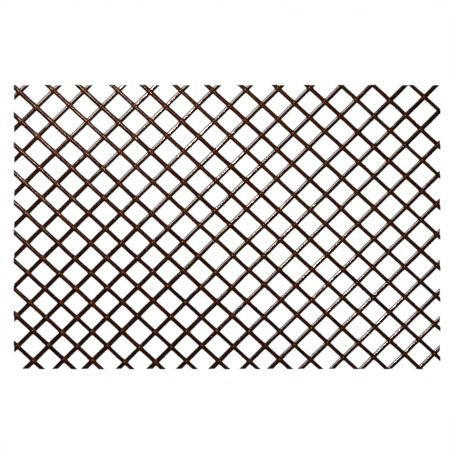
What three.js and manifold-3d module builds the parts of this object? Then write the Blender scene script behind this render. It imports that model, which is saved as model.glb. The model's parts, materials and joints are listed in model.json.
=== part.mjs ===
// Expandable willow trellis: a lattice of round rods in two layers, pinned with a rivet where they cross.
// Millimetres, +Z up, +X to the right, front towards -Y. The origin is the middle of the panel,
// on the plane where the front rods lie against the back rods.
import * as THREE from "three";
import { mergeVertices } from "three/addons/utils/BufferGeometryUtils.js";
import Module from "manifold-3d";

const wasm = await Module();
wasm.setup();

// The panel, sawn straight along its four edges
const PANEL_WIDTH = 1200;
const PANEL_HEIGHT = 800;

// The lattice: front rods fall to the right, back rods rise to the right, and their diamonds fill the panel
const DIAMOND_WIDTH_SHARE = 0.07407; // of the panel's width
const DIAMOND_HEIGHT_SHARE = 0.10593; // of the panel's height
const FRONT_WIDTH_SHARE = 0.5085; // of a diamond's width, taken by the side that is a front rod
const FRONT_HEIGHT_SHARE = 0.4906; // and of its height; the sides that are back rods take the rest
const MIDDLE_ACROSS_SHARE = 0.0071; // of the panel's width, from its middle to the middle crossing
const MIDDLE_UP_SHARE = 0.0075; // and of its height
const MIDDLE_FRONT_ROD = 10;
const MIDDLE_BACK_ROD = 11;

// Gaps between neighbouring front rods, from the top right corner down, as shares of a diamond's side
const frontGapShares = [
  1.2, 1.0, 1.05, 1.0, 1.05, 1.05, 1.0, 1.0, 0.95, 1.05, 0.95,
  1.1, 0.95, 1.0, 0.95, 1.0, 1.0, 0.95, 0.95, 0.85, 1.0,
];
// Gaps between neighbouring back rods, from the top left corner down
const backGapShares = [
  1.05, 1.0, 1.1, 1.05, 1.0, 1.0, 1.05, 1.0, 1.0, 0.95, 0.95,
  1.1, 1.0, 0.95, 1.05, 1.0, 0.9, 1.0, 1.0, 0.95, 0.9, 0.95,
];

// The rods: round withies with a narrow flat where they meet, thicker at the butt than at the tip
const FRONT_ROD_DIAMETER = 11;
const BACK_ROD_DIAMETER = 13; // the stouter withies are in the back layer
const ROD_FLAT_HALF_ANGLE = 24; // degrees each side of a flat's middle
const ROD_SIDE_STRIPS = 4; // strips between the two flats, on each side
const BUTT_SHARE = 1.1; // thickness a panel's diagonal above the middle, on a rod that lies with its butt up
const TIP_SHARE = 0.9; // and a diagonal below the middle
// How thick each rod is, as a share of its layer's rod diameter
const frontThicknessShares = [
  0.96, 1.0, 0.94, 1.03, 0.98, 1.02, 1.0, 0.95, 1.04, 0.99, 1.02,
  0.97, 1.0, 1.04, 0.96, 1.01, 0.98, 1.03, 0.95, 1.0, 1.02, 0.97,
];
const backThicknessShares = [
  0.98, 1.02, 0.96, 1.0, 1.04, 0.97, 1.01, 0.95, 1.03, 0.99, 1.0, 1.04,
  0.96, 1.02, 0.98, 1.01, 0.95, 1.0, 1.03, 0.97, 1.02, 0.96, 0.99,
];

// The rivets: a domed head in front, a shank through both rods, a burr behind
const SHANK_DIAMETER = 2.6;
const HEAD_DIAMETER = 6.4;
const HEAD_RIM = 0.7;
const HEAD_HEIGHT = 1.8;
const HEAD_CROWN_SHARE = 0.6; // width of the dome's flat crown over the head's
const BURR_DIAMETER = 5.4;
const BURR_RIM = 0.8;
const BURR_HEIGHT = 1.4;
const BURR_CROWN_SHARE = 0.55;
const RIVET_SIDES = 8;
const RIVET_EDGE_SHARE = 0.07; // of a diamond, the least that lies between a rivet's middle and a sawn edge
const ANCHOR_FRONT_ROD = 6; // the rod that the panel hangs from, whose rivets are made here
const ANCHOR_RIVETS = 15; // counted from that rod's upper end

// Clearances, cuts and colours
const LAYER_GAP = 0.3; // between the front and the back rods
const SEAT_GAP = 0.3; // under a rivet's head and over its burr
const PIVOT_CLEARANCE = 0.3; // between a shank and the hole's walls
const CUT_OVERRUN = 20; // how far a cut runs past what it cuts, in front and behind
const BARK_LIGHTNESS_STEP = 0.012;
const FRONT_BARK_COLOUR = "#4f2f1f";
const BACK_BARK_COLOUR = "#3f271b";
const RIVET_COLOUR = "#6e5341";

const HOLE_WIDTH = SHANK_DIAMETER + 2 * PIVOT_CLEARANCE;
const CUT_DEPTH = 2 * (FRONT_ROD_DIAMETER + BACK_ROD_DIAMETER + CUT_OVERRUN);
const PANEL_DIAGONAL = Math.hypot(PANEL_WIDTH, PANEL_HEIGHT);
const DIAMOND_WIDTH = DIAMOND_WIDTH_SHARE * PANEL_WIDTH;
const DIAMOND_HEIGHT = DIAMOND_HEIGHT_SHARE * PANEL_HEIGHT;

// A diamond's two sides, each one step down along a rod
const frontSide = new THREE.Vector3(
  FRONT_WIDTH_SHARE * DIAMOND_WIDTH, 0, -FRONT_HEIGHT_SHARE * DIAMOND_HEIGHT,
);
const backSide = new THREE.Vector3(
  (FRONT_WIDTH_SHARE - 1) * DIAMOND_WIDTH, 0, (FRONT_HEIGHT_SHARE - 1) * DIAMOND_HEIGHT,
);

function runningSums(shares, step, middle) {
  const places = [0];
  shares.forEach((share) => places.push(places.at(-1) + share * step));
  return places.map((place) => place - places[middle]);
}

// Places of the front rods along a back rod, and of the back rods along a front rod
const frontPlaces = runningSums(frontGapShares, backSide.length(), MIDDLE_FRONT_ROD);
const backPlaces = runningSums(backGapShares, frontSide.length(), MIDDLE_BACK_ROD);

// A layer's turn about +Y, from +X to the way its rods run downwards
function headingOf(side) {
  return Math.atan2(-side.z, side.x);
}

const alongFront = frontSide.clone().normalize();
const alongBack = backSide.clone().normalize();

function crossing(frontRod, backRod) {
  return new THREE.Vector3(MIDDLE_ACROSS_SHARE * PANEL_WIDTH, 0, MIDDLE_UP_SHARE * PANEL_HEIGHT)
    .addScaledVector(alongFront, backPlaces[backRod])
    .addScaledVector(alongBack, frontPlaces[frontRod]);
}

function isRiveted(frontRod, backRod) {
  const place = crossing(frontRod, backRod);
  const insideX = PANEL_WIDTH / 2 - Math.abs(place.x) >= RIVET_EDGE_SHARE * DIAMOND_WIDTH;
  const insideZ = PANEL_HEIGHT / 2 - Math.abs(place.z) >= RIVET_EDGE_SHARE * DIAMOND_HEIGHT;
  return insideX && insideZ;
}

// The layers as lists of rods: each has its number, its thickness and the numbers of the rods pinned to it
function rodsOf(diameter, thicknessShares, otherPlaces, riveted) {
  return thicknessShares
    .map((share, number) => ({
      number,
      radius: (share * diameter) / 2,
      pinned: [...otherPlaces.keys()].filter((other) => riveted(number, other)),
    }))
    .filter((rod) => rod.pinned.length > 0);
}

const frontRods = rodsOf(FRONT_ROD_DIAMETER, frontThicknessShares, backPlaces, isRiveted);
const backRods = rodsOf(
  BACK_ROD_DIAMETER, backThicknessShares, frontPlaces, (back, front) => isRiveted(front, back),
);

// A rod's radius at a place along it: even rods lie with the butt up, odd ones with the butt down
function radiusAt(rod, place) {
  const fromTop = (1 + place / PANEL_DIAGONAL) / 2;
  const fromButt = rod.number % 2 === 0 ? fromTop : 1 - fromTop;
  return rod.radius * THREE.MathUtils.lerp(BUTT_SHARE, TIP_SHARE, fromButt);
}

// How far a rod's outer flat lies from its inner one
function depthAt(rod, place) {
  return 2 * radiusAt(rod, place) * Math.cos(THREE.MathUtils.degToRad(ROD_FLAT_HALF_ANGLE));
}

// Corners of a rod's section as angles from the outer flat's middle
function sectionAngles() {
  const angles = [];
  const sideStep = (180 - 2 * ROD_FLAT_HALF_ANGLE) / ROD_SIDE_STRIPS;
  for (const side of [0, 1]) {
    for (let strip = 0; strip <= ROD_SIDE_STRIPS; strip++) {
      const angle = side * 180 + ROD_FLAT_HALF_ANGLE + strip * sideStep;
      angles.push(THREE.MathUtils.degToRad(angle));
    }
  }
  return angles;
}

function sectionRing(x, radius) {
  const middle = radius * Math.cos(THREE.MathUtils.degToRad(ROD_FLAT_HALF_ANGLE));
  return sectionAngles().map(
    (angle) => new THREE.Vector3(x, middle + radius * Math.cos(angle), radius * Math.sin(angle)),
  );
}

// A tapered rod along +X, with its inner flat on the plane y = 0 and its body towards +Y.
// It is longer than any stretch that the panel's edges leave of it.
function rodBlank(rod) {
  const ends = [-PANEL_DIAGONAL, PANEL_DIAGONAL];
  const rings = ends.map((end) => sectionRing(end, radiusAt(rod, end)));
  const corners = rings[0].length;
  const faces = [];
  for (let corner = 0; corner < corners; corner++) {
    const next = (corner + 1) % corners;
    faces.push(corner, next, corners + next);
    faces.push(corner, corners + next, corners + corner);
  }
  for (let corner = 1; corner < corners - 1; corner++) {
    faces.push(0, corner + 1, corner);
    faces.push(corners, corners + corner, corners + corner + 1);
  }
  const geometry = new THREE.BufferGeometry().setFromPoints(rings.flat());
  geometry.setIndex(faces);
  return geometry;
}

function solidOf(geometry) {
  const bare = geometry.clone();
  bare.deleteAttribute("normal");
  bare.deleteAttribute("uv");
  const merged = mergeVertices(bare);
  return new wasm.Manifold(
    new wasm.Mesh({
      numProp: 3,
      vertProperties: merged.attributes.position.array,
      triVerts: new Uint32Array(merged.index.array),
    }),
  );
}

function geometryOf(solid) {
  const mesh = solid.getMesh();
  const geometry = new THREE.BufferGeometry();
  geometry.setAttribute("position", new THREE.BufferAttribute(mesh.vertProperties, 3));
  geometry.setIndex(new THREE.BufferAttribute(mesh.triVerts, 1));
  geometry.computeVertexNormals();
  return geometry;
}

// The space inside the panel's edges
function panelSpace() {
  return new THREE.BoxGeometry(PANEL_WIDTH, CUT_DEPTH, PANEL_HEIGHT);
}

// A hole straight through a rod, at a place along it
function rivetHole(place) {
  return new THREE.BoxGeometry(HOLE_WIDTH, CUT_DEPTH, HOLE_WIDTH).translate(place, 0, 0);
}

// A rod is placed by the point on it at place 0, sawn off at the panel's edges and drilled for its rivets
function rodMesh(rod, name, place, heading, roll, otherPlaces, material) {
  const mesh = new THREE.Mesh(undefined, material);
  mesh.name = name;
  mesh.rotation.order = "YXZ";
  mesh.rotation.set(roll, heading, 0);
  mesh.position.copy(place);
  mesh.updateMatrix();
  const space = solidOf(panelSpace().applyMatrix4(mesh.matrix.clone().invert()));
  let solid = solidOf(rodBlank(rod)).intersect(space);
  rod.pinned.forEach((other) => {
    solid = solid.subtract(solidOf(rivetHole(otherPlaces[other])));
  });
  mesh.geometry = geometryOf(solid);
  return mesh;
}

function twoDigits(number) {
  return String(number + 1).padStart(2, "0");
}

// Bark: brown willow, a little lighter or darker from rod to rod
function barkMaterial(hexColour, number) {
  const colour = new THREE.Color(hexColour);
  colour.offsetHSL(0, 0, BARK_LIGHTNESS_STEP * ((number % 3) - 1));
  return new THREE.MeshStandardMaterial({ color: colour, roughness: 0.55, metalness: 0 });
}

function rivetMaterial() {
  return new THREE.MeshStandardMaterial({ color: RIVET_COLOUR, roughness: 0.45, metalness: 0.9 });
}

function frontLayer() {
  const layer = new THREE.Group();
  frontRods.forEach((rod) => {
    const name = `front_rod_${twoDigits(rod.number)}`;
    const place = crossing(rod.number, MIDDLE_BACK_ROD);
    place.y = -LAYER_GAP / 2;
    const bark = barkMaterial(FRONT_BARK_COLOUR, rod.number);
    layer.add(rodMesh(rod, name, place, headingOf(frontSide), Math.PI, backPlaces, bark));
  });
  return layer;
}

function backLayer() {
  const layer = new THREE.Group();
  backRods.forEach((rod) => {
    const name = `back_rod_${twoDigits(rod.number)}`;
    const place = crossing(MIDDLE_FRONT_ROD, rod.number);
    place.y = LAYER_GAP / 2;
    const bark = barkMaterial(BACK_BARK_COLOUR, rod.number);
    layer.add(rodMesh(rod, name, place, headingOf(backSide), 0, frontPlaces, bark));
  });
  return layer;
}

// A rivet about its own axis Y: the burr behind a grip of the given length, the head in front of y = 0
function rivetProfile(grip) {
  const shank = SHANK_DIAMETER / 2;
  const head = HEAD_DIAMETER / 2;
  const burr = BURR_DIAMETER / 2;
  return [
    new THREE.Vector2(0, -HEAD_HEIGHT),
    new THREE.Vector2(head * HEAD_CROWN_SHARE, -HEAD_HEIGHT),
    new THREE.Vector2(head, -HEAD_RIM),
    new THREE.Vector2(head, 0),
    new THREE.Vector2(shank, 0),
    new THREE.Vector2(shank, grip),
    new THREE.Vector2(burr, grip),
    new THREE.Vector2(burr, grip + BURR_RIM),
    new THREE.Vector2(burr * BURR_CROWN_SHARE, grip + BURR_HEIGHT),
    new THREE.Vector2(0, grip + BURR_HEIGHT),
  ];
}

function rivetMesh(frontRod, backRod) {
  const frontDepth = depthAt(frontRod, backPlaces[backRod.number]);
  const backDepth = depthAt(backRod, frontPlaces[frontRod.number]);
  const headSeat = LAYER_GAP / 2 + frontDepth + SEAT_GAP;
  const burrSeat = LAYER_GAP / 2 + backDepth + SEAT_GAP;
  const profile = rivetProfile(headSeat + burrSeat);
  const mesh = new THREE.Mesh(new THREE.LatheGeometry(profile, RIVET_SIDES), rivetMaterial());
  mesh.name = `rivet_f${twoDigits(frontRod.number)}_b${twoDigits(backRod.number)}`;
  mesh.position.copy(crossing(frontRod.number, backRod.number));
  mesh.position.y = -headSeat;
  return mesh;
}

function anchorRivets() {
  const rivets = new THREE.Group();
  const anchorRod = frontRods.find((rod) => rod.number === ANCHOR_FRONT_ROD);
  backRods
    .filter((backRod) => anchorRod.pinned.includes(backRod.number))
    .slice(0, ANCHOR_RIVETS)
    .forEach((backRod) => rivets.add(rivetMesh(anchorRod, backRod)));
  return rivets;
}

const trellis = new THREE.Group();
trellis.add(frontLayer(), backLayer(), anchorRivets());

export default trellis;
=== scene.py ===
import json
import math
import random

import bmesh
import bpy
from mathutils import Matrix, Vector, noise

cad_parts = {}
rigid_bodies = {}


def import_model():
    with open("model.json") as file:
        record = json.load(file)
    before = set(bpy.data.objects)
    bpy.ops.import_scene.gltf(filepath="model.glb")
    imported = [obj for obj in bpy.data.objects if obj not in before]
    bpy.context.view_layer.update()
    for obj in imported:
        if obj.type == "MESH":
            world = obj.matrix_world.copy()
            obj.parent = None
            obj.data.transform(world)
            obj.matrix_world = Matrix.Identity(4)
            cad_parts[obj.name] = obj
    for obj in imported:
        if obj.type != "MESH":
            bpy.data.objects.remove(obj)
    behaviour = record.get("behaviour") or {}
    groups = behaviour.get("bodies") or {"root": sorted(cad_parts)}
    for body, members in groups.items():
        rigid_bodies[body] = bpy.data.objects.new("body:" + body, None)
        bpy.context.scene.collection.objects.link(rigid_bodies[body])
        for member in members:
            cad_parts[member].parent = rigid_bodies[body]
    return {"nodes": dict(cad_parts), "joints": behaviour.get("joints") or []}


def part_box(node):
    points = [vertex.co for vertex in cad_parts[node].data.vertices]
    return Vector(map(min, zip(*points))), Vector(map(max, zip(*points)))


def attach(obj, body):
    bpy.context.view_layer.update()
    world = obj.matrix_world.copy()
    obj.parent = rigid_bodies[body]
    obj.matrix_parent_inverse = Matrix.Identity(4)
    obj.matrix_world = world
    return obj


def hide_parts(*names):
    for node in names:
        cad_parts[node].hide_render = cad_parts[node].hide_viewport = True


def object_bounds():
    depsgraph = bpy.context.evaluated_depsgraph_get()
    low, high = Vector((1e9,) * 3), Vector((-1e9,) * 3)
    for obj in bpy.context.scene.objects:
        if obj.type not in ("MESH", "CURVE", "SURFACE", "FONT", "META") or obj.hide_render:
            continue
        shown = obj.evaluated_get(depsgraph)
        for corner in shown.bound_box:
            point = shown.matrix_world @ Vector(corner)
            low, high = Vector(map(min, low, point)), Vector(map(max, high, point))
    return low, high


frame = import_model()
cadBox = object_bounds()

scene = bpy.context.scene
scene.view_settings.view_transform = "Standard"
yAxis = Vector((0, 1, 0))  # from the front of the panel to its back


def linearColour(hexText):
    channels = [int(hexText[k:k + 2], 16) / 255 for k in (1, 3, 5)]
    return (*[c / 12.92 if c <= 0.04045 else ((c + 0.055) / 1.055) ** 2.4 for c in channels], 1.0)


def addNode(tree, kind, inputs=None, **settings):
    # a node with its settings, and each input either linked to an output or set to a value
    node = tree.nodes.new(kind)
    for name, value in settings.items():
        setattr(node, name, value)
    for key, value in (inputs or {}).items():
        if isinstance(value, bpy.types.NodeSocket):
            tree.links.new(value, node.inputs[key])
        else:
            node.inputs[key].default_value = value
    return node


def newMaterial(name):
    material = bpy.data.materials.new(name)
    material.use_nodes = True
    material.node_tree.nodes.clear()
    return material, material.node_tree


def meshObject(name, mesh):
    made = bpy.data.objects.new(name, mesh)
    scene.collection.objects.link(made)
    return made


# Camera: straight in front of the middle of the panel
camera = {
    "distance": 4.0,
    "seen": 1.279,  # width of the square picture at the panel, in metres
    "sensor": 36.0,
}
cameraData = bpy.data.cameras.new("camera")
cameraData.sensor_width = camera["sensor"]
cameraData.lens = camera["sensor"] * camera["distance"] / camera["seen"]
cameraObject = bpy.data.objects.new("camera", cameraData)
cameraObject.location = (0, -camera["distance"], 0)
cameraObject.rotation_euler = (math.radians(90), 0, 0)
scene.collection.objects.link(cameraObject)
scene.camera = cameraObject

# Lattice: the lines of the rods come from the pivots of the frame
lattice = {
    "root": "front_rod_07",  # the pivots on these two rods give the two directions
    "driver": "back_rod_10",
    "pinFromEdge": 0.006,  # a crossing nearer than this to a sawn edge has no rivet
    "layerGap": 0.00015,  # from the plane between the layers to each of them
    "flatAngle": 24.0,  # degrees each side of the flat on which a rod lies against the others
    "taper": 0.067,  # share of its thickness that a withy loses in a metre
}
panelHalf = Vector(((cadBox[1].x - cadBox[0].x) / 2, 0, (cadBox[1].z - cadBox[0].z) / 2))
flatShare = math.cos(math.radians(lattice["flatAngle"]))

pivotsOn = {}
for joint in frame["joints"]:
    for rodName in (joint["parent"], joint["child"]):
        pivotsOn.setdefault(rodName, []).append(Vector(joint["pos_m"]))


def downwards(rodName):
    ordered = sorted(pivotsOn[rodName], key=lambda place: -place.z)
    return (ordered[-1] - ordered[0]).normalized()


def sawnEnds(point, along):
    # places along the rod where it meets the panel's edges, each with that edge's outward normal
    start, end = (-math.inf, None), (math.inf, None)
    for axis in (0, 2):
        hits = []
        for side in (-1, 1):
            normal = Vector((0, 0, 0))
            normal[axis] = side
            hits.append(((side * panelHalf[axis] - point[axis]) / along[axis], normal))
        hits.sort(key=lambda hit: hit[0])
        start = max(start, hits[0], key=lambda hit: hit[0])
        end = min(end, hits[1], key=lambda hit: hit[0])
    return start, end


def rodsOf(layer, along):
    rods = []
    names = sorted(name for name in frame["nodes"] if name.startswith(layer + "_rod_"))
    for number, name in enumerate(names):
        point = pivotsOn[name][0]
        low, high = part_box(name)
        start, end = sawnEnds(point, along)
        rods.append({
            "name": name, "number": number, "layer": layer, "pins": [],
            "point": point, "along": along, "across": along.cross(yAxis),
            "start": start, "end": end, "side": -1 if layer == "front" else 1,
            "buttRadius": (high.y - low.y) / (2 * flatShare), "buttUp": number % 2 == 0,
        })
    return rods


def radiusAt(rod, place):
    fromButt = place - rod["start"][0] if rod["buttUp"] else rod["end"][0] - place
    return rod["buttRadius"] * (1 - lattice["taper"] * fromButt)


frontRods = rodsOf("front", downwards(lattice["root"]))
backRods = rodsOf("back", downwards(lattice["driver"]))
pins = []
for front in frontRods:
    for back in backRods:
        a, b = front["along"], back["along"]
        apart = back["point"] - front["point"]
        turned = a.x * b.z - a.z * b.x
        onFront = (apart.x * b.z - apart.z * b.x) / turned
        onBack = (apart.x * a.z - apart.z * a.x) / turned
        place = front["point"] + a * onFront
        inside = min(panelHalf.x - abs(place.x), panelHalf.z - abs(place.z))
        if inside > lattice["pinFromEdge"]:
            front["pins"].append(onFront)
            back["pins"].append(onBack)
            pins.append({
                "place": place, "front": front, "back": back, "frontPlace": onFront, "backPlace": onBack,
            })
print("lattice:", len(frontRods), "front rods,", len(backRods), "back rods,", len(pins), "pinned crossings")


# Marks that all the bark has. A pattern's scale is its repeats in a metre, twice across the rod and along it
barkMarks = {
    "streaks": (700, 700, 20),  # 1.4 mm wide and 50 mm long, coarser than real fibres so that they show
    "streakStops": ((0.34, "dark"), (0.5, "middle"), (0.68, "light")),
    "patches": (160, 160, 55),  # 6 mm wide and 18 mm long, where the bark has dried darker
    "patchRange": (0.42, 0.66),
    "patchShare": 0.55,
    "lenticels": (190, 190, 330),  # dots 1 mm long and 2 mm wide, 3 to 5 mm apart
    "lenticelRange": (0.14, 0.22),
    "lenticelShare": 0.45,
    "wornRange": (0.25, 0.8),  # nearness to a pin at which the wear sets in and is full
    "wornShare": 0.85,
    "budShare": 0.9,
    "glossRange": (0.35, 0.7),  # values of the patches at the bark's two roughnesses
    "lenticelHeight": 0.5,  # over the height of the streaks
    "bumpStrength": 0.25,
    "bumpHeight": 0.0003,
    "ior": 1.5,
}


# Willow bark, steamed and dried on the rod: chestnut brown with darker streaks along it, a waxy gloss,
# small pale lenticels across it, dark buds, and bare lighter wood where the rivets have worn it
def barkMaterial(name, marks, colours):
    material, tree = newMaterial(name)
    place = addNode(tree, "ShaderNodeAttribute", attribute_name="barkPlace").outputs["Vector"]
    pinNear, budShare, rodTone, facing = [
        addNode(tree, "ShaderNodeAttribute", attribute_name=kept).outputs["Fac"]
        for kept in ("pinNear", "budShare", "rodTone", "facing")
    ]
    streakPlace, patchPlace, dotPlace = [
        addNode(tree, "ShaderNodeMapping", {"Vector": place, "Scale": marks[pattern]}).outputs[0]
        for pattern in ("streaks", "patches", "lenticels")
    ]
    streaks = addNode(tree, "ShaderNodeTexNoise", {
        "Vector": streakPlace, "Scale": 1.0, "Detail": 3.0,
    }).outputs[0]
    patches = addNode(tree, "ShaderNodeTexNoise", {
        "Vector": patchPlace, "Scale": 1.0, "Detail": 2.0,
    }).outputs[0]
    dots = addNode(tree, "ShaderNodeTexVoronoi", {"Vector": dotPlace, "Scale": 1.0}).outputs["Distance"]
    nearest, farthest = marks["lenticelRange"]
    lenticels = addNode(tree, "ShaderNodeMapRange", {
        "Value": dots, "From Min": nearest, "From Max": farthest, "To Min": 1.0, "To Max": 0.0,
    }).outputs[0]

    ramp = addNode(tree, "ShaderNodeValToRGB", {"Fac": streaks})
    ramp.color_ramp.elements.new(0.5)  # a third stop, placed with the others
    for stop, (position, tone) in zip(ramp.color_ramp.elements, marks["streakStops"]):
        stop.position = position
        stop.color = linearColour(colours[tone])
    colour = ramp.outputs[0]

    # over the streaks, in this order, lie layers that each have a share at every place
    shares = {}
    lowest, highest = marks["patchRange"]
    shares["patch"] = addNode(tree, "ShaderNodeMapRange", {
        "Value": patches, "From Min": lowest, "From Max": highest, "To Max": marks["patchShare"],
    }).outputs[0]
    shares["lenticel"] = addNode(tree, "ShaderNodeMath", {
        0: lenticels, 1: marks["lenticelShare"],
    }, operation="MULTIPLY").outputs[0]
    for tone, sign in (("yellow", 1.0), ("shadow", -1.0)):
        shares[tone] = addNode(tree, "ShaderNodeMath", {
            0: rodTone, 1: sign,
        }, operation="MULTIPLY", use_clamp=True).outputs[0]
    # painted shade: where the bark turns away from the front and the back, its colour goes towards near
    # black, standing in for the shading of the round rod
    if "paintedFlankShade" in colours:
        crest = addNode(tree, "ShaderNodeMath", {0: facing}, operation="ABSOLUTE").outputs[0]
        ragged = addNode(tree, "ShaderNodeMath", {
            0: streaks, 1: colours["ragged"], 2: -0.5 * colours["ragged"],
        }, operation="MULTIPLY_ADD").outputs[0]
        strayed = addNode(tree, "ShaderNodeMath", {0: crest, 1: ragged}, operation="ADD").outputs[0]
        none, full = colours["paintedFlankShadeRange"]
        shares["paintedFlankShade"] = addNode(tree, "ShaderNodeMapRange", {
            "Value": strayed, "From Min": none, "From Max": full, "To Max": colours["paintedFlankShadeShare"],
        }, interpolation_type="SMOOTHSTEP").outputs[0]
    lowest, highest = marks["wornRange"]
    shares["worn"] = addNode(tree, "ShaderNodeMapRange", {
        "Value": pinNear, "From Min": lowest, "From Max": highest, "To Max": marks["wornShare"],
    }, interpolation_type="SMOOTHSTEP").outputs[0]
    shares["bud"] = addNode(tree, "ShaderNodeMath", {
        0: budShare, 1: marks["budShare"],
    }, operation="MULTIPLY", use_clamp=True).outputs[0]
    for tone, share in shares.items():
        colour = addNode(tree, "ShaderNodeMix", {
            "Factor": share, 6: colour, 7: linearColour(colours[tone]),
        }, data_type="RGBA").outputs[2]

    lowest, highest = marks["glossRange"]
    gloss = addNode(tree, "ShaderNodeMapRange", {
        "Value": patches, "From Min": lowest, "From Max": highest,
        "To Min": colours["rough"][0], "To Max": colours["rough"][1],
    }).outputs[0]
    height = addNode(tree, "ShaderNodeMath", {
        0: lenticels, 1: marks["lenticelHeight"], 2: streaks,
    }, operation="MULTIPLY_ADD").outputs[0]
    bump = addNode(tree, "ShaderNodeBump", {
        "Height": height, "Strength": marks["bumpStrength"], "Distance": marks["bumpHeight"],
    }).outputs[0]
    shader = addNode(tree, "ShaderNodeBsdfPrincipled", {
        "Base Color": colour, "Roughness": gloss, "IOR": marks["ior"], "Normal": bump,
        "Specular IOR Level": colours["wax"], "Specular Tint": linearColour(colours["tint"]),
    })
    addNode(tree, "ShaderNodeOutputMaterial", {"Surface": shader.outputs[0]})
    return material


# The front rods' redder bark, with painted shade on the flanks: the sides of each rod are darkened to near
# black in the colour, standing in for the shading of the round rod, so that it shows as a brown crest between
# dark lines
frontBark = barkMaterial("chestnut willow bark", barkMarks, {
    "dark": "#150200", "middle": "#350901", "light": "#74290b",
    "patch": "#1a0601", "lenticel": "#7a4a2c", "yellow": "#462404", "shadow": "#0a0301",
    # the near-black colour of the painted shade on the rod's flanks, not a colour of the bark itself
    "paintedFlankShade": "#070200",
    "paintedFlankShadeRange": (0.97, 0.83),  # how squarely the bark faces the front or back, where the painted shade sets in and where it is darkest
    "paintedFlankShadeShare": 0.92,
    "ragged": 0.06,  # how far the streaks shift the edge of the painted shade
    "worn": "#50260a", "bud": "#080301",
    "wax": 0.5, "tint": "#f4cfb8", "rough": (0.16, 0.22),
})
# The back rods' darker, waxier bark, which mirrors the soft box as a pale band
backBark = barkMaterial("dark willow bark", barkMarks, {
    "dark": "#0d0300", "middle": "#1d0702", "light": "#44190a",
    "patch": "#140602", "lenticel": "#5a3c28", "yellow": "#3a2008", "shadow": "#080301",
    "worn": "#3a1c0c", "bud": "#080301",
    "wax": 0.9, "tint": "#fff2e8", "rough": (0.1, 0.14),
})


# Sawn willow: pale heartwood cut across with a fine saw, which leaves faint marks and darker specks
sawnLook = {
    "stops": ((0.4, "#9a7650"), (0.8, "#d9bd92")),
    "marks": 200.0,  # saw marks 1.6 mm apart
    "markWander": 3.0,
    "markShare": 0.35,  # of the marks beside the specks
    "specks": 900.0,  # grain of 1.1 mm
    "rough": 0.75,
    "ior": 1.45,
    "bumpStrength": 0.4,
    "bumpHeight": 0.0002,
}


def sawnMaterial(look):
    material, tree = newMaterial("sawn willow wood")
    place = addNode(tree, "ShaderNodeTexCoord").outputs["Object"]
    marks = addNode(tree, "ShaderNodeTexWave", {
        "Vector": place, "Scale": look["marks"], "Distortion": look["markWander"], "Detail": 2.0,
    }, bands_direction="Y").outputs["Fac"]
    specks = addNode(tree, "ShaderNodeTexNoise", {
        "Vector": place, "Scale": look["specks"], "Detail": 2.0,
    }).outputs[0]
    both = addNode(tree, "ShaderNodeMath", {
        0: marks, 1: look["markShare"], 2: specks,
    }, operation="MULTIPLY_ADD").outputs[0]
    ramp = addNode(tree, "ShaderNodeValToRGB", {"Fac": both})
    for stop, (position, hexText) in zip(ramp.color_ramp.elements, look["stops"]):
        stop.position = position
        stop.color = linearColour(hexText)
    bump = addNode(tree, "ShaderNodeBump", {
        "Height": both, "Strength": look["bumpStrength"], "Distance": look["bumpHeight"],
    }).outputs[0]
    shader = addNode(tree, "ShaderNodeBsdfPrincipled", {
        "Base Color": ramp.outputs[0], "Roughness": look["rough"], "IOR": look["ior"], "Normal": bump,
    })
    addNode(tree, "ShaderNodeOutputMaterial", {"Surface": shader.outputs[0]})
    return material


# Copper-washed steel rivet: a warm brown metal, duller and darker where it has tarnished
rivetLook = {
    "stops": ((0.35, "#3c2316"), (0.65, "#8a6044")),
    "tarnish": 650.0,  # patches of 1.5 mm
    "tarnishRange": (0.3, 0.7),
    "rough": (0.42, 0.26),
    "bumpStrength": 0.25,
    "bumpHeight": 0.0002,
}


def rivetMaterial(look):
    material, tree = newMaterial("browned steel")
    place = addNode(tree, "ShaderNodeTexCoord").outputs["Object"]
    tarnish = addNode(tree, "ShaderNodeTexNoise", {
        "Vector": place, "Scale": look["tarnish"], "Detail": 3.0,
    }).outputs[0]
    ramp = addNode(tree, "ShaderNodeValToRGB", {"Fac": tarnish})
    for stop, (position, hexText) in zip(ramp.color_ramp.elements, look["stops"]):
        stop.position = position
        stop.color = linearColour(hexText)
    lowest, highest = look["tarnishRange"]
    rough = addNode(tree, "ShaderNodeMapRange", {
        "Value": tarnish, "From Min": lowest, "From Max": highest,
        "To Min": look["rough"][0], "To Max": look["rough"][1],
    }).outputs[0]
    bump = addNode(tree, "ShaderNodeBump", {
        "Height": tarnish, "Strength": look["bumpStrength"], "Distance": look["bumpHeight"],
    }).outputs[0]
    shader = addNode(tree, "ShaderNodeBsdfPrincipled", {
        "Base Color": ramp.outputs[0], "Metallic": 1.0, "Roughness": rough, "Normal": bump,
    })
    addNode(tree, "ShaderNodeOutputMaterial", {"Surface": shader.outputs[0]})
    return material


sawnWood = sawnMaterial(sawnLook)
rivetSteel = rivetMaterial(rivetLook)
print("materials made")


def newTree(name, sockets):
    # an empty geometry tree with its named inputs
    tree = bpy.data.node_groups.new(name, "GeometryNodeTree")
    tree.interface.new_socket("Geometry", in_out="INPUT", socket_type="NodeSocketGeometry")
    for socketName, socketType in sockets.items():
        tree.interface.new_socket(socketName, in_out="INPUT", socket_type="NodeSocket" + socketType)
    tree.interface.new_socket("Geometry", in_out="OUTPUT", socket_type="NodeSocketGeometry")
    return tree, tree.nodes.new("NodeGroupInput").outputs


def grown(name, mesh, tree, values):
    # runs the tree on a guide mesh with the given inputs, and keeps the result as a plain mesh
    guide = meshObject(name + ".guide", mesh)
    modifier = guide.modifiers.new("grow", "NODES")
    modifier.node_group = tree
    for item in tree.interface.items_tree:
        if item.item_type == "SOCKET" and item.in_out == "INPUT" and item.name in values:
            modifier[item.identifier] = values[item.name]
    bpy.context.view_layer.update()
    evaluated = guide.evaluated_get(bpy.context.evaluated_depsgraph_get())
    result = bpy.data.meshes.new_from_object(evaluated)
    result.name = name
    guide.modifiers.clear()
    bpy.data.objects.remove(guide)
    return meshObject(name, result)


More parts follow.
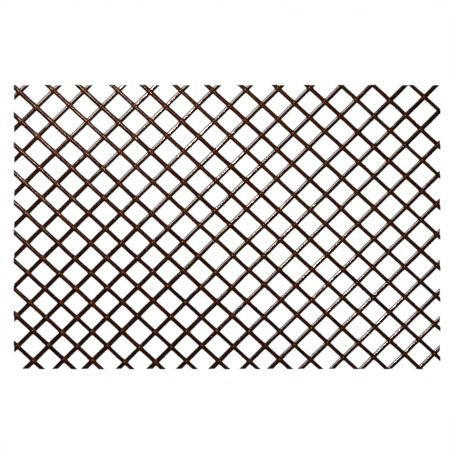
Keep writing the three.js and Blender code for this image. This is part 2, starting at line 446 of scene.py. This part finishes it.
def ringedMesh(name, rings, sides):
    # a smooth closed mesh through rings of points, where a ring of one point is a tip
    shape = bmesh.new()
    rings = [[shape.verts.new(point) for point in ring] for ring in rings]
    for one, other in zip(rings, rings[1:]):
        for k in range(sides):
            n = (k + 1) % sides
            corners = [one[k % len(one)], one[n % len(one)], other[n % len(other)], other[k % len(other)]]
            shape.faces.new(list(dict.fromkeys(corners)))
    bmesh.ops.recalc_face_normals(shape, faces=shape.faces)
    for face in shape.faces:
        face.smooth = True
    mesh = bpy.data.meshes.new(name)
    shape.to_mesh(mesh)
    shape.free()
    return mesh


# Withies: one for each rod, all lengths in metres
withies = {
    "sides": 20,
    "ringStep": 0.0025,
    "fewestSteps": 4,
    "chamfer": 0.0004,  # on the sawn edge of the bark
    "chamferShare": 0.9,  # girth of the outermost ring over that of the ring beside it
    "leanLength": 0.016,  # the rings turn from square to the panel's edge over this length
    "bend": 0.0006,  # how far a withy wanders from its line between two pins
    "bendLength": 0.09,
    "bendStart": 0.02,  # the bend sets in over this length from a pin
    "uneven": 0.035,  # share by which the width wanders
    "unevenLength": 0.03,
    "pinLength": 0.0075,  # half the length of the swelling at a pin
    "pinSizes": (0.7, 1.25),  # the swellings differ from pin to pin by a factor between these
    "pinPress": 0.04,  # share by which the rivet presses a withy flatter
    "frontSwelling": 0.26,  # share by which a front rod is wider at a pin
    "backSwelling": 0.08,
    "depthShare": 0.95,  # a withy's depth over its width, because the others press against it
    # a withy's width over its solid's at the middle of the panel, and what it loses in a metre down the rod
    "frontWidth": (1.05, 0.16),
    "backWidth": (1.0, 0.0),
    "relief": 0.1,  # share of the radius from the lowest to the highest bark
    "reliefScale": 240.0,  # bumps of 4 mm round the rod
    "reliefLength": 0.22,  # along the rod they are drawn out by one over this
    "frontSeed": 5000,
    "backSeed": 5500,
    "frontCount": 0,  # the withies are counted from here for their buds and their place in the bark
    "backCount": 50,
    "barkShift": (0.37, 0.11, 0.73),  # from one withy's place in the bark to the next one's
    "budSpacing": 0.047,
    "budRise": (-0.25, 1.2),  # angle in radians from the rod's side toward the outside of the panel
    "budStray": (-0.012, 0.012),  # along the rod
    "budSize": (0.65, 1.3),
    "budClear": 0.25,  # no bud sits where a pin's swelling is above this share
}


# A tube of bark swept along its rail, sawn off at the panel's edges, with its buds
def withyTree(settings):
    tree, given = newTree("withy", {
        "Along": "Vector", "Across": "Vector", "Outward": "Vector",
        "Lowest Corner": "Vector", "Highest Corner": "Vector",
        "Sides": "Int", "Relief": "Float", "Relief Length": "Float",
        "Bud": "Object", "Bud Spacing": "Float", "Tone": "Float", "Seed": "Int", "Offset": "Vector",
        "Bark": "Material", "Sawn Wood": "Material",
    })
    position = addNode(tree, "GeometryNodeInputPosition").outputs[0]
    rail = addNode(tree, "GeometryNodeMeshToCurve", {"Mesh": given["Geometry"]}).outputs[0]
    rail = addNode(tree, "GeometryNodeStoreNamedAttribute", {
        "Geometry": rail, "Name": "railPlace", "Value": position,
    }, data_type="FLOAT_VECTOR", domain="POINT").outputs[0]
    ring = addNode(tree, "GeometryNodeCurvePrimitiveCircle", {
        "Resolution": given["Sides"], "Radius": 1.0,
    }).outputs[0]
    ring = addNode(tree, "GeometryNodeStoreNamedAttribute", {
        "Geometry": ring, "Name": "aroundRod", "Value": position,
    }, data_type="FLOAT_VECTOR", domain="POINT").outputs[0]
    tube = addNode(tree, "GeometryNodeCurveToMesh", {
        "Curve": rail, "Profile Curve": ring, "Fill Caps": True,
    }).outputs[0]

    named = {}
    for name, kind in (
        ("railPlace", "FLOAT_VECTOR"), ("aroundRod", "FLOAT_VECTOR"), ("girth", "FLOAT_VECTOR"),
        ("cutLean", "FLOAT_VECTOR"), ("alongPlace", "FLOAT"), ("pinNear", "FLOAT"),
    ):
        reader = addNode(tree, "GeometryNodeInputNamedAttribute", {"Name": name}, data_type=kind)
        named[name] = reader.outputs[0]

    # where a point lies on the bark, in metres round and along the rod
    size = addNode(tree, "ShaderNodeVectorMath", {0: named["girth"]}, operation="LENGTH").outputs["Value"]
    around = addNode(tree, "ShaderNodeVectorMath", {
        0: named["aroundRod"], "Scale": size,
    }, operation="SCALE").outputs[0]
    alongOnly = addNode(tree, "ShaderNodeCombineXYZ", {"Z": named["alongPlace"]}).outputs[0]
    onBark = addNode(tree, "ShaderNodeVectorMath", {0: around, 1: alongOnly}, operation="ADD").outputs[0]
    onBark = addNode(tree, "ShaderNodeVectorMath", {
        0: onBark, 1: given["Offset"],
    }, operation="ADD").outputs[0]

    # how far a point of the section faces front or back, from -1 to 1; the front bark paints shade on its
    # flanks by it
    unit = addNode(tree, "ShaderNodeVectorMath", {
        0: position, 1: named["railPlace"],
    }, operation="SUBTRACT").outputs[0]
    frontBack = addNode(tree, "ShaderNodeSeparateXYZ", {0: unit}).outputs["Y"]
    tube = addNode(tree, "GeometryNodeStoreNamedAttribute", {
        "Geometry": tube, "Name": "facing", "Value": frontBack,
    }, data_type="FLOAT", domain="POINT").outputs[0]

    # the section has its girth across and in depth, uneven with the bark
    stretch = addNode(tree, "ShaderNodeCombineXYZ", {
        "X": 1.0, "Y": 1.0, "Z": given["Relief Length"],
    }).outputs[0]
    reliefPlace = addNode(tree, "ShaderNodeVectorMath", {
        0: onBark, 1: stretch,
    }, operation="MULTIPLY").outputs[0]
    uneven = addNode(tree, "ShaderNodeTexNoise", {
        "Vector": reliefPlace, "Scale": settings["reliefScale"], "Detail": 2.0,
    }).outputs[0]
    uneven = addNode(tree, "ShaderNodeMath", {0: uneven, 1: 0.5}, operation="SUBTRACT").outputs[0]
    swell = addNode(tree, "ShaderNodeMath", {
        0: uneven, 1: given["Relief"], 2: 1.0,
    }, operation="MULTIPLY_ADD").outputs[0]
    radial = addNode(tree, "ShaderNodeVectorMath", {
        0: unit, 1: named["girth"],
    }, operation="MULTIPLY").outputs[0]
    radial = addNode(tree, "ShaderNodeVectorMath", {0: radial, "Scale": swell}, operation="SCALE").outputs[0]

    # near a sawn end the rings lean until they lie in the panel's edge
    lean = addNode(tree, "ShaderNodeVectorMath", {0: radial, 1: named["cutLean"]}, operation="DOT_PRODUCT")
    slide = addNode(tree, "ShaderNodeVectorMath", {
        0: given["Along"], "Scale": lean.outputs["Value"],
    }, operation="SCALE").outputs[0]
    onRail = addNode(tree, "ShaderNodeVectorMath", {
        0: named["railPlace"], 1: radial,
    }, operation="ADD").outputs[0]
    final = addNode(tree, "ShaderNodeVectorMath", {0: onRail, 1: slide}, operation="ADD").outputs[0]
    tube = addNode(tree, "GeometryNodeSetPosition", {"Geometry": tube, "Position": final}).outputs[0]
    tube = addNode(tree, "GeometryNodeStoreNamedAttribute", {
        "Geometry": tube, "Name": "barkPlace", "Value": onBark,
    }, data_type="FLOAT_VECTOR", domain="POINT").outputs[0]
    corners = addNode(tree, "GeometryNodeCornersOfFace").outputs["Total"]
    isCap = addNode(tree, "FunctionNodeCompare", {
        2: corners, 3: 4,
    }, data_type="INT", operation="GREATER_THAN").outputs[0]
    tube = addNode(tree, "GeometryNodeStoreNamedAttribute", {
        "Geometry": tube, "Name": "sawnFace", "Value": isCap,
    }, data_type="BOOLEAN", domain="FACE").outputs[0]

    # buds sit on one side of the rod and on the other by turns, each with its own rise, stray and size
    budPoints = addNode(tree, "GeometryNodeResampleCurve", {
        "Curve": rail, "Length": given["Bud Spacing"],
    }, mode="LENGTH").outputs[0]
    number = addNode(tree, "GeometryNodeInputIndex").outputs[0]
    parity = addNode(tree, "ShaderNodeMath", {0: number, 1: 2.0}, operation="MODULO").outputs[0]
    leftRight = addNode(tree, "ShaderNodeMath", {
        0: parity, 1: 2.0, 2: -1.0,
    }, operation="MULTIPLY_ADD").outputs[0]
    drawn = {}
    for name in ("budRise", "budStray", "budSize"):
        lowest, highest = settings[name]
        drawn[name] = addNode(tree, "FunctionNodeRandomValue", {
            "Min": lowest, "Max": highest, "Seed": given["Seed"],
        }, data_type="FLOAT").outputs[1]
    sidewards = addNode(tree, "ShaderNodeMath", {0: drawn["budRise"]}, operation="COSINE").outputs[0]
    sidewards = addNode(tree, "ShaderNodeMath", {0: sidewards, 1: leftRight}, operation="MULTIPLY").outputs[0]
    outwards = addNode(tree, "ShaderNodeMath", {0: drawn["budRise"]}, operation="SINE").outputs[0]
    partAcross = addNode(tree, "ShaderNodeVectorMath", {
        0: given["Across"], "Scale": sidewards,
    }, operation="SCALE").outputs[0]
    partOut = addNode(tree, "ShaderNodeVectorMath", {
        0: given["Outward"], "Scale": outwards,
    }, operation="SCALE").outputs[0]
    budWay = addNode(tree, "ShaderNodeVectorMath", {0: partAcross, 1: partOut}, operation="ADD").outputs[0]
    reach = addNode(tree, "ShaderNodeVectorMath", {
        0: budWay, 1: named["girth"],
    }, operation="MULTIPLY").outputs[0]
    stray = addNode(tree, "ShaderNodeVectorMath", {
        0: given["Along"], "Scale": drawn["budStray"],
    }, operation="SCALE").outputs[0]
    budOffset = addNode(tree, "ShaderNodeVectorMath", {0: reach, 1: stray}, operation="ADD").outputs[0]
    budPoints = addNode(tree, "GeometryNodeSetPosition", {
        "Geometry": budPoints, "Offset": budOffset,
    }).outputs[0]
    budTurn = addNode(tree, "FunctionNodeAxesToRotation", {
        0: budWay, 1: given["Along"],
    }, primary_axis="Z", secondary_axis="X").outputs[0]
    clear = addNode(tree, "FunctionNodeCompare", {
        0: named["pinNear"], 1: settings["budClear"],
    }, data_type="FLOAT", operation="LESS_THAN").outputs[0]
    rodEnd = addNode(tree, "GeometryNodeCurveEndpointSelection", {"Start Size": 1, "End Size": 1}).outputs[0]
    inner = addNode(tree, "FunctionNodeBooleanMath", {0: rodEnd}, operation="NOT").outputs[0]
    chosen = addNode(tree, "FunctionNodeBooleanMath", {0: clear, 1: inner}, operation="AND").outputs[0]
    # a bud's place in the bark is kept before the points turn into instances
    budPoints = addNode(tree, "GeometryNodeStoreNamedAttribute", {
        "Geometry": budPoints, "Name": "barkPlace", "Value": position,
    }, data_type="FLOAT_VECTOR", domain="POINT").outputs[0]
    budShape = addNode(tree, "GeometryNodeObjectInfo", {
        "Object": given["Bud"], "As Instance": True,
    }).outputs["Geometry"]
    buds = addNode(tree, "GeometryNodeInstanceOnPoints", {
        "Points": budPoints, "Selection": chosen, "Instance": budShape,
        "Rotation": budTurn, "Scale": drawn["budSize"],
    }).outputs[0]
    buds = addNode(tree, "GeometryNodeStoreNamedAttribute", {
        "Geometry": buds, "Name": "budShare", "Value": 1.0,
    }, data_type="FLOAT", domain="INSTANCE").outputs[0]

    # nothing goes beyond the panel's edges or the plane between the layers
    both = addNode(tree, "GeometryNodeJoinGeometry")
    tree.links.new(tube, both.inputs[0])
    tree.links.new(buds, both.inputs[0])
    rod = addNode(tree, "GeometryNodeRealizeInstances", {"Geometry": both.outputs[0]}).outputs[0]
    notBelow = addNode(tree, "ShaderNodeVectorMath", {
        0: position, 1: given["Lowest Corner"],
    }, operation="MAXIMUM").outputs[0]
    notBeyond = addNode(tree, "ShaderNodeVectorMath", {
        0: notBelow, 1: given["Highest Corner"],
    }, operation="MINIMUM").outputs[0]
    rod = addNode(tree, "GeometryNodeSetPosition", {"Geometry": rod, "Position": notBeyond}).outputs[0]
    rod = addNode(tree, "GeometryNodeStoreNamedAttribute", {
        "Geometry": rod, "Name": "rodTone", "Value": given["Tone"],
    }, data_type="FLOAT", domain="POINT").outputs[0]
    for name in ("railPlace", "aroundRod", "girth", "cutLean", "alongPlace"):
        rod = addNode(tree, "GeometryNodeRemoveAttribute", {"Geometry": rod, "Name": name}).outputs[0]
    sawnFace = addNode(tree, "GeometryNodeInputNamedAttribute", {
        "Name": "sawnFace",
    }, data_type="BOOLEAN").outputs[0]
    onlyBark = addNode(tree, "FunctionNodeBooleanMath", {0: sawnFace}, operation="NOT").outputs[0]
    rod = addNode(tree, "GeometryNodeSetShadeSmooth", {"Geometry": rod, "Shade Smooth": onlyBark}).outputs[0]
    rod = addNode(tree, "GeometryNodeSetMaterial", {"Geometry": rod, "Material": given["Bark"]}).outputs[0]
    rod = addNode(tree, "GeometryNodeSetMaterial", {
        "Geometry": rod, "Selection": sawnFace, "Material": given["Sawn Wood"],
    }).outputs[0]
    addNode(tree, "NodeGroupOutput", {0: rod})
    return tree


def gaussian(distance, length):
    return math.exp(-(distance / length) ** 2)


def smoothStep(share):
    share = min(1.0, max(0.0, share))
    return share * share * (3 - 2 * share)


def railMesh(rod, settings):
    # the rod's middle line from one sawn end to the other, with what each ring needs
    rng = random.Random(settings[rod["layer"] + "Seed"] + rod["number"])
    pinSizes = [rng.uniform(*settings["pinSizes"]) for _ in rod["pins"]]
    phase = rng.uniform(0, 1000)  # the rod's own place in the noise
    swelling = settings[rod["layer"] + "Swelling"]
    widthShare, narrowing = settings[rod["layer"] + "Width"]
    fromMiddle = rod["point"].dot(rod["along"])

    start, end = rod["start"][0], rod["end"][0]
    first, last = start + settings["chamfer"], end - settings["chamfer"]
    steps = max(settings["fewestSteps"], round((last - first) / settings["ringStep"]))
    places = [start] + [first + (last - first) * k / steps for k in range(steps + 1)] + [end]
    points, girths, leans, nears = [], [], [], []
    for index, place in enumerate(places):
        radius = radiusAt(rod, place)
        near = max(
            gaussian(place - pin, settings["pinLength"]) * size for pin, size in zip(rod["pins"], pinSizes)
        )
        fromPin = min(abs(place - pin) for pin in rod["pins"])
        wander = noise.noise(Vector((place / settings["bendLength"], phase, 0)))
        bend = settings["bend"] * 2 * wander * smoothStep(fromPin / settings["bendStart"])
        # the width wanders by itself, in another row of the noise
        ripple = noise.noise(Vector((place / settings["unevenLength"], phase, 7)))
        uneven = 1 + settings["uneven"] * ripple
        edge = settings["chamferShare"] if index in (0, len(places) - 1) else 1.0
        deep = radius * settings["depthShare"] * (1 - settings["pinPress"] * near)
        middle = rod["side"] * (lattice["layerGap"] + deep)
        points.append(rod["point"] + rod["along"] * place + rod["across"] * bend + yAxis * middle)
        narrowed = widthShare - narrowing * (fromMiddle + place)
        wide = radius * uneven * edge * (1 + swelling * near) * narrowed
        girths.append((wide, deep * edge, wide))
        lean = Vector((0, 0, 0))
        for cut, normal in (rod["start"], rod["end"]):
            share = 1 - smoothStep((abs(place - cut) - settings["chamfer"]) / settings["leanLength"])
            lean -= normal * (share / rod["along"].dot(normal))
        leans.append(lean)
        nears.append(min(1.0, near))
    mesh = bpy.data.meshes.new(rod["name"] + ".rail")
    mesh.from_pydata(points, [(k, k + 1) for k in range(len(points) - 1)], [])
    for name, kind, field, values in (
        ("girth", "FLOAT_VECTOR", "vector", [c for girth in girths for c in girth]),
        ("cutLean", "FLOAT_VECTOR", "vector", [c for lean in leans for c in lean]),
        ("alongPlace", "FLOAT", "value", places),
        ("pinNear", "FLOAT", "value", nears),
    ):
        mesh.attributes.new(name, kind, "POINT").data.foreach_set(field, values)
    return mesh


# A bud: a small drop pressed against the bark, pointing along the rod
budShape = {
    "length": 0.0052,
    "width": 0.0028,
    "height": 0.0017,
    "sides": 6,
    # place along the bud, and its share of the width there
    "profile": [(0.0, 0.0), (0.12, 0.75), (0.38, 1.0), (0.7, 0.6), (1.0, 0.0)],
}


def budMesh(settings):
    angles = [2 * math.pi * k / settings["sides"] for k in range(settings["sides"])]
    rings = []
    for place, share in settings["profile"]:
        x = (place - 0.5) * settings["length"]
        wide, high = share * settings["width"] / 2, share * settings["height"]
        rings.append([(x, wide * math.cos(a), high * math.sin(a)) for a in angles] if share else [(x, 0, 0)])
    return ringedMesh("bud", rings, settings["sides"])


# Tones of the rods, from -1 for nearly black to 1 for yellowish
frontTones = [
    0.35, 0.15, 0.6, 0.1, 0.5, 0.75, 0.2, 0.45, -0.1, 0.3, -0.25,
    0.15, -0.3, 0.0, -0.4, 0.1, -0.35, -0.05, -0.5, 0.0, -0.6, -0.7,
]
backTones = [
    0.1, 0.25, 0.0, 0.2, -0.1, 0.15, 0.05, -0.15, 0.1, -0.1, -0.3, 0.1,
    -0.2, 0.0, -0.15, 0.1, -0.1, 0.05, 0.15, -0.1, 0.1, 0.0, 0.1,
]

bud = meshObject("bud", budMesh(budShape))
growWithy = withyTree(withies)
beyond = 1.0  # a limit in depth that no rod reaches
for rods, tones, barkOf, slotOf in (
    (frontRods, frontTones, frontBark, "front_bark"), (backRods, backTones, backBark, "back_bark"),
):
    for rod in rods:
        inner = rod["side"] * lattice["layerGap"]
        low = (-panelHalf.x, inner if rod["side"] > 0 else -beyond, -panelHalf.z)
        high = (panelHalf.x, beyond if rod["side"] > 0 else inner, panelHalf.z)
        number = withies[rod["layer"] + "Count"] + rod["number"]
        withy = grown("withy_" + rod["name"], railMesh(rod, withies), growWithy, {
            "Along": rod["along"], "Across": rod["across"], "Outward": yAxis * rod["side"],
            "Lowest Corner": low, "Highest Corner": high, "Sides": withies["sides"],
            "Relief": withies["relief"], "Relief Length": withies["reliefLength"],
            "Bud": bud, "Bud Spacing": withies["budSpacing"], "Tone": tones[rod["number"]],
            "Seed": number, "Offset": [shift * number for shift in withies["barkShift"]],
            "Bark": barkOf, "Sawn Wood": sawnWood,
        })
        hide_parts(rod["name"])
        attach(withy, rod["name"])
    print("withies of one layer:", len(rods))
bpy.data.objects.remove(bud)


# Rivets: a hammered dome in front, a shank through both rods, a burr behind. A profile holds shares of
# the radius and places along the rivet's axis
rivets = {
    "head": [(0.0, -0.0018), (0.55, -0.0017), (0.85, -0.0012), (1.0, -0.0005), (1.0, 0.0003), (0.0, 0.0003)],
    "headRadius": 0.0032,
    "headSides": 12,
    "burr": [(0.0, 0.0014), (0.5, 0.0013), (1.0, 0.0007), (1.0, -0.0003), (0.0, -0.0003)],
    "burrRadius": 0.0027,
    "burrSides": 10,
    "shank": [(0, 0), (1, 0), (1, 1), (0, 1)],  # one metre long, and shortened to the grip of each rivet
    "shankRadius": 0.0013,
    "shankSides": 8,
    "sharpAngle": 50.0,  # a sharper edge than this isn't smoothed
    "seatGap": 0.0003,  # from the flattened bark to the head's and the burr's seats
    "tilt": 0.05,  # at most, in radians
    "twist": 60.0,  # how far a rivet is turned about its own axis, over its tilt
}


def turnedMesh(name, settings):
    # a small lathe about Y, closed at both ends
    radius, sides = settings[name + "Radius"], settings[name + "Sides"]
    angles = [2 * math.pi * k / sides for k in range(sides)]
    rings = []
    for share, y in settings[name]:
        wide = share * radius
        rings.append([(wide * math.cos(a), y, wide * math.sin(a)) for a in angles] if share else [(0, y, 0)])
    mesh = ringedMesh(name, rings, sides)
    mesh.set_sharp_from_angle(angle=math.radians(settings["sharpAngle"]))
    return meshObject(name, mesh)


def rivetTree(settings):
    tree, given = newTree("rivets", {
        "Head": "Object", "Shank": "Object", "Burr": "Object",
        "Tilt": "Float", "Seed": "Int", "Metal": "Material",
    })
    grip = addNode(tree, "GeometryNodeInputNamedAttribute", {"Name": "grip"}, data_type="FLOAT").outputs[0]
    twist = settings["twist"]
    tilt = addNode(tree, "FunctionNodeRandomValue", {
        0: (-1.0, -twist, -1.0), 1: (1.0, twist, 1.0), "Seed": given["Seed"],
    }, data_type="FLOAT_VECTOR").outputs[0]
    tilt = addNode(tree, "ShaderNodeVectorMath", {
        0: tilt, "Scale": given["Tilt"],
    }, operation="SCALE").outputs[0]
    stretched = addNode(tree, "ShaderNodeCombineXYZ", {"X": 1.0, "Y": grip, "Z": 1.0}).outputs[0]
    behind = addNode(tree, "ShaderNodeCombineXYZ", {"Y": grip}).outputs[0]
    burrPoints = addNode(tree, "GeometryNodeSetPosition", {
        "Geometry": given["Geometry"], "Offset": behind,
    }).outputs[0]
    joined = addNode(tree, "GeometryNodeJoinGeometry")
    for points, shapeName, rotation, scale in (
        (given["Geometry"], "Head", tilt, (1, 1, 1)),
        (given["Geometry"], "Shank", (0, 0, 0), stretched),
        (burrPoints, "Burr", tilt, (1, 1, 1)),
    ):
        shape = addNode(tree, "GeometryNodeObjectInfo", {
            "Object": given[shapeName], "As Instance": True,
        }).outputs["Geometry"]
        placed = addNode(tree, "GeometryNodeInstanceOnPoints", {
            "Points": points, "Instance": shape, "Rotation": rotation, "Scale": scale,
        }).outputs[0]
        tree.links.new(placed, joined.inputs[0])
    metal = addNode(tree, "GeometryNodeRealizeInstances", {"Geometry": joined.outputs[0]}).outputs[0]
    metal = addNode(tree, "GeometryNodeSetMaterial", {
        "Geometry": metal, "Material": given["Metal"],
    }).outputs[0]
    addNode(tree, "NodeGroupOutput", {0: metal})
    return tree


head, burr, shank = [turnedMesh(name, rivets) for name in ("head", "burr", "shank")]
growRivets = rivetTree(rivets)
solidRivets = sorted(node for node in frame["nodes"] if node.startswith("rivet_"))
for front in frontRods:
    points, grips = [], []
    for pin in pins:
        if pin["front"] is not front:
            continue
        seats = []
        for layer in ("front", "back"):
            depth = 2 * flatShare * radiusAt(pin[layer], pin[layer + "Place"])
            seats.append(lattice["layerGap"] + depth + rivets["seatGap"])
        points.append(pin["place"] - yAxis * seats[0])
        grips.append(sum(seats))
    mesh = bpy.data.meshes.new("rivet points")
    mesh.from_pydata(points, [], [])
    mesh.attributes.new("grip", "FLOAT", "POINT").data.foreach_set("value", grips)
    made = grown("rivets_" + front["name"], mesh, growRivets, {
        "Head": head, "Shank": shank, "Burr": burr,
        "Tilt": rivets["tilt"], "Seed": front["number"], "Metal": rivetSteel,
    })
    if front["name"] == lattice["root"]:
        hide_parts(*solidRivets)
    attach(made, front["name"])
for proto in (head, burr, shank):
    bpy.data.objects.remove(proto)
print("rivets:", len(pins))

# Studio: a white room seen by the camera, a soft box leaning over the panel's top, which the back rods mirror
# along their upper left side, a small lamp that the front rods mirror at the upper left, a weak fill from the
# right, a lamp behind, and a little light all round
studio = {
    "roomLight": 0.04,
    "backdropFrom": 0.92,  # cosine of the angle from straight back up to which reflections see the backdrop
    "floorDepth": 1.0,  # below the middle of the panel
    "floorSide": 6.0,
    "floorFront": -7.0,
    "floorBack": 1.5,
    "floorPaint": "#6a6a68",
    "floorSeen": "#ececea",
    "floorGlow": 0.88,
}
lamps = {  # the middles of two opposite edges, the width across them, and the power in watts
    "soft box": ((-0.57, -1.35, 0.92), (-0.785, -0.3, 1.165), 0.9, 31.0),
    "fill lamp": ((2.2, -2.6, -0.4), (2.2, -2.6, 1.6), 2.0, 0.5),
    "rear lamp": ((0, 3, -0.9), (0, 3, 2.1), 3.0, 34.0),
    "small lamp": ((-0.46, -1.8, 0.6), (-0.34, -1.8, 0.71), 0.16, 13.0),
}


def lamp(name, one, other, width, power):
    # an area lamp on the two given edges, facing the panel
    one, other = Vector(one), Vector(other)
    data = bpy.data.lights.new(name, "AREA")
    data.shape = "RECTANGLE"
    data.size = width
    data.size_y = (other - one).length
    data.energy = power
    made = bpy.data.objects.new(name, data)
    made.location = (one + other) / 2
    edge = (other - one).normalized()
    away = (made.location - edge * made.location.dot(edge)).normalized()
    made.rotation_euler = Matrix((edge.cross(away), edge, away)).transposed().to_euler()
    made.visible_camera = False
    scene.collection.objects.link(made)


for name, (one, other, width, power) in lamps.items():
    lamp(name, one, other, width, power)

world = bpy.data.worlds.new("white room")
scene.world = world
world.use_nodes = True
tree = world.node_tree
tree.nodes.clear()
rays = addNode(tree, "ShaderNodeLightPath").outputs
seen = addNode(tree, "ShaderNodeMath", {
    0: rays["Is Camera Ray"], 1: rays["Is Glossy Ray"],
}, operation="MAXIMUM").outputs[0]
# the backdrop is behind the panel, so what is reflected towards the front is the darker room
direction = addNode(tree, "ShaderNodeTexCoord").outputs["Generated"]
towardsBack = addNode(tree, "ShaderNodeSeparateXYZ", {0: direction}).outputs["Y"]
behind = addNode(tree, "ShaderNodeMapRange", {
    "Value": towardsBack, "From Min": studio["backdropFrom"], "From Max": 1.0,
}).outputs[0]
behind = addNode(tree, "ShaderNodeMath", {
    0: behind, 1: rays["Is Camera Ray"],
}, operation="MAXIMUM").outputs[0]
seen = addNode(tree, "ShaderNodeMath", {0: seen, 1: behind}, operation="MULTIPLY").outputs[0]
strength = addNode(tree, "ShaderNodeMapRange", {
    "Value": seen, "To Min": studio["roomLight"], "To Max": 1.0,
}).outputs[0]
background = addNode(tree, "ShaderNodeBackground", {"Color": (1, 1, 1, 1), "Strength": strength})
addNode(tree, "ShaderNodeOutputWorld", {"Surface": background.outputs[0]})

floorMesh = bpy.data.meshes.new("floor")
floorMesh.from_pydata([
    (side * studio["floorSide"], studio["floor" + way], -studio["floorDepth"])
    for side, way in ((-1, "Front"), (1, "Front"), (1, "Back"), (-1, "Back"))
], [], [(0, 1, 2, 3)])
floor = meshObject("floor", floorMesh)
# Pale matt paint: seen by the camera it is nearly as white as the room, with the shadow of the panel on it.
# It throws little light back, so that the rods keep a dark underside
paint, tree = newMaterial("pale matt paint")
rays = addNode(tree, "ShaderNodeLightPath").outputs
glow = addNode(tree, "ShaderNodeMath", {
    0: rays["Is Camera Ray"], 1: studio["floorGlow"],
}, operation="MULTIPLY").outputs[0]
painted = addNode(tree, "ShaderNodeBsdfPrincipled", {
    "Base Color": linearColour(studio["floorPaint"]), "Roughness": 0.9,
    "Emission Color": linearColour(studio["floorSeen"]), "Emission Strength": glow,
})
addNode(tree, "ShaderNodeOutputMaterial", {"Surface": painted.outputs[0]})
floorMesh.materials.append(paint)
print("studio made")
